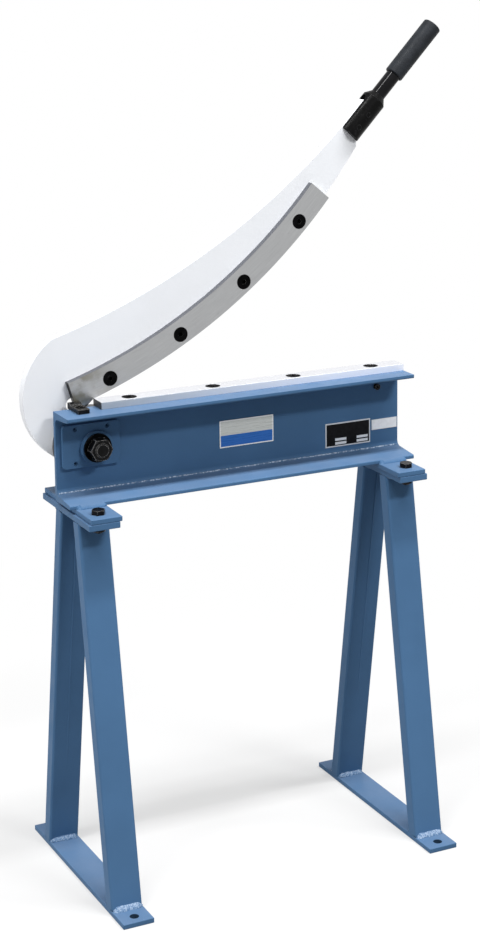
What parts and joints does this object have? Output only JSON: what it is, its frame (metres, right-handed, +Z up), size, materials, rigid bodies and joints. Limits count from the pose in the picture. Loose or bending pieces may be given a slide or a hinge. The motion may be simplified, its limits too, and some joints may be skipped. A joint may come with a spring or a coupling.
{
  "type": "bench shear",
  "caption": "Hand-lever plate shear on a floor stand: a curved blade on a pivoting lever closes past a straight blade on a channel beam carried by splayed legs.",
  "frame": {"origin": "on the floor plane, at the centre of the rectangle of floor-bolt holes in the base plates", "axes": "+X along the beam from the pivot end to the free end, +Y from the front (open side of the beam) to the rear, where the lever is, +Z up"},
  "size_m": [0.7351, 0.376, 1.3121],
  "materials": {
    "frame_paint": "semi-gloss blue paint",
    "lever_paint": "pale satin paint",
    "upper_blade_steel": "ground tool steel",
    "lower_blade_steel": "bright ground tool steel",
    "fastener_black": "black oxide",
    "dark_steel": "dark machined steel",
    "bush_bronze": "plain bearing bronze",
    "socket_black": "satin black",
    "rod_black": "gloss black",
    "grip_rubber": "matte fine texture",
    "name_plate_metal": "satin, printed",
    "data_plate_metal": "satin black",
    "small_plate_metal": "satin white"
  },
  "bodies": {
    "stand": {"left_base_plate": "frame_paint", "right_base_plate": "frame_paint", "left_front_leg": "frame_paint", "left_rear_leg": "frame_paint", "right_front_leg": "frame_paint", "right_rear_leg": "frame_paint", "left_stand_plate": "frame_paint", "right_stand_plate": "frame_paint", "left_foot_plate": "frame_paint", "right_foot_plate": "frame_paint", "foot_bolts": "fastener_black", "foot_nuts": "fastener_black", "beam": "frame_paint", "lower_blade": "lower_blade_steel", "lower_blade_screws": "fastener_black", "guide_screw": "fastener_black", "stop_pin": "dark_steel", "stop_screw": "fastener_black", "pivot_plate": "frame_paint", "pivot_plate_screws": "frame_paint", "pivot_boss": "frame_paint", "pivot_spacer": "dark_steel", "pivot_bolt": "fastener_black", "pivot_washer": "fastener_black", "pivot_nut": "fastener_black", "pivot_rear_washer": "dark_steel", "name_plate": "name_plate_metal", "data_plate": "data_plate_metal", "small_plate": "small_plate_metal"},
    "lever": {"lever_plate": "lever_paint", "lever_bush": "bush_bronze", "upper_blade": "upper_blade_steel", "upper_blade_screws": "fastener_black", "upper_blade_nuts": "fastener_black", "handle_socket": "socket_black", "socket_pins": "fastener_black", "handle_rod": "rod_black", "handle_grip": "grip_rubber"},
    "guide": {"guide_block": "fastener_black"}
  },
  "joints": [
    {"name": "lever_pivot", "type": "hinge", "parent": "stand", "child": "lever", "pos_m": [-0.233, 0.0543, 0.687], "axis": [0, 1, 0], "range_deg": [-15, 34.5]},
    {"name": "guide_slide", "type": "slide", "parent": "stand", "child": "guide", "axis": [0, 1, 0], "range_m": [-0.006, 0]}
  ]
}
